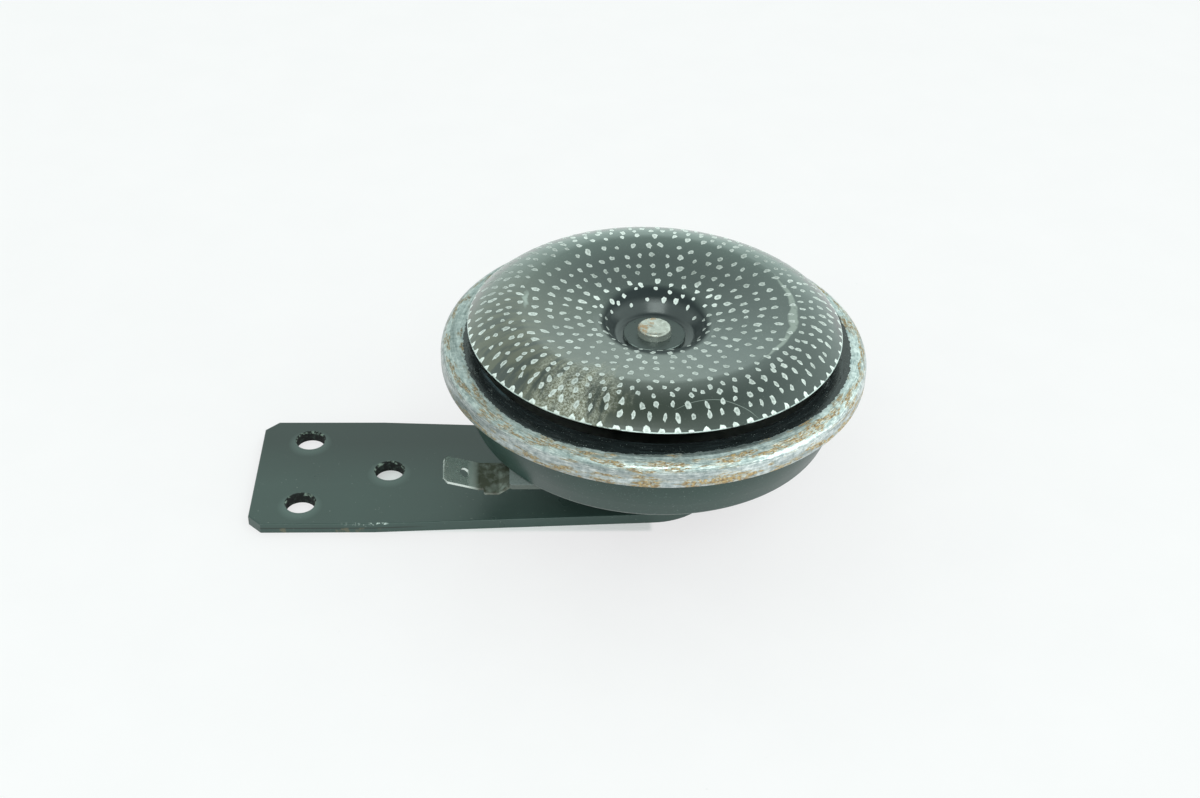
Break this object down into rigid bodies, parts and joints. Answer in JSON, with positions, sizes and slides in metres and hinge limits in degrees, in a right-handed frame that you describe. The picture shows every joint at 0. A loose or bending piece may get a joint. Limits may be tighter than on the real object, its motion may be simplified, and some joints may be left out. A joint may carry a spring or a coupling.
{
  "type": "car horn",
  "caption": "Electromagnetic disc horn with a dished tone disc, a zinc rim ring, a spade terminal and a two-leaf strap bracket with fixing holes.",
  "frame": {"origin": "on the horn's axis, at the underside of the strap bracket", "axes": "+Z along the horn's axis towards the tone disc, +X along the strap from its free end towards the horn"},
  "size_m": [0.1369, 0.0938, 0.0481],
  "materials": {
    "strap_paint": "satin dark grey paint",
    "housing_paint": "satin dark grey paint, fine specks",
    "disc_paint": "satin dark grey paint, worn through in spots",
    "black_paint": "gloss black paint",
    "zinc_plate": "dull zinc plating, some rust",
    "bare_steel": "turned or pressed steel",
    "washer_steel": "dark steel",
    "rusty_steel": "dull steel with rust spots",
    "gasket_board": "matt",
    "bobbin_plastic": "moulded",
    "copper_wire": "enamelled copper",
    "insulating_board": "phenolic board",
    "spring_bronze": "spring bronze strip",
    "contact_metal": "tungsten",
    "grey_plastic": "moulded",
    "tinned_brass": "tin plated, tarnished"
  },
  "bodies": {
    "horn_body": {"adjusting_boss": "zinc_plate", "adjusting_screw": "zinc_plate", "coil_bobbin": "bobbin_plastic", "coil_lead_contact": "copper_wire", "coil_lead_terminal": "copper_wire", "coil_winding": "copper_wire", "contact_arm": "spring_bronze", "contact_insulator_lower": "insulating_board", "contact_insulator_middle": "insulating_board", "contact_insulator_upper": "insulating_board", "contact_rivets": "zinc_plate", "core_nut": "zinc_plate", "diaphragm": "black_paint", "fixed_contact": "contact_metal", "fixed_contact_plate": "zinc_plate", "gasket_lower": "gasket_board", "gasket_upper": "gasket_board", "housing": "housing_paint", "moving_contact": "contact_metal", "pole_core": "bare_steel", "pole_plate": "bare_steel", "pole_plate_rivets": "zinc_plate", "rim_ring": "zinc_plate", "strap_leaf_lower": "strap_paint", "strap_leaf_upper": "strap_paint", "terminal_blade": "tinned_brass", "terminal_insulator": "grey_plastic", "terminal_rivet": "zinc_plate", "terminal_tag": "tinned_brass", "terminal_washer": "insulating_board"},
    "sounder": {"resonator_disc": "disc_paint", "head_washer": "washer_steel", "centre_stud": "rusty_steel", "spacer_collar": "bare_steel", "diaphragm_washer": "bare_steel", "armature": "bare_steel"}
  },
  "joints": [
    {"name": "sounder_stroke", "type": "slide", "parent": "horn_body", "child": "sounder", "axis": [0, 0, 1], "range_m": [-0.0006, 0.0004], "stiffness_N_per_m": 20000, "deforming": ["diaphragm", "contact_arm"]}
  ]
}
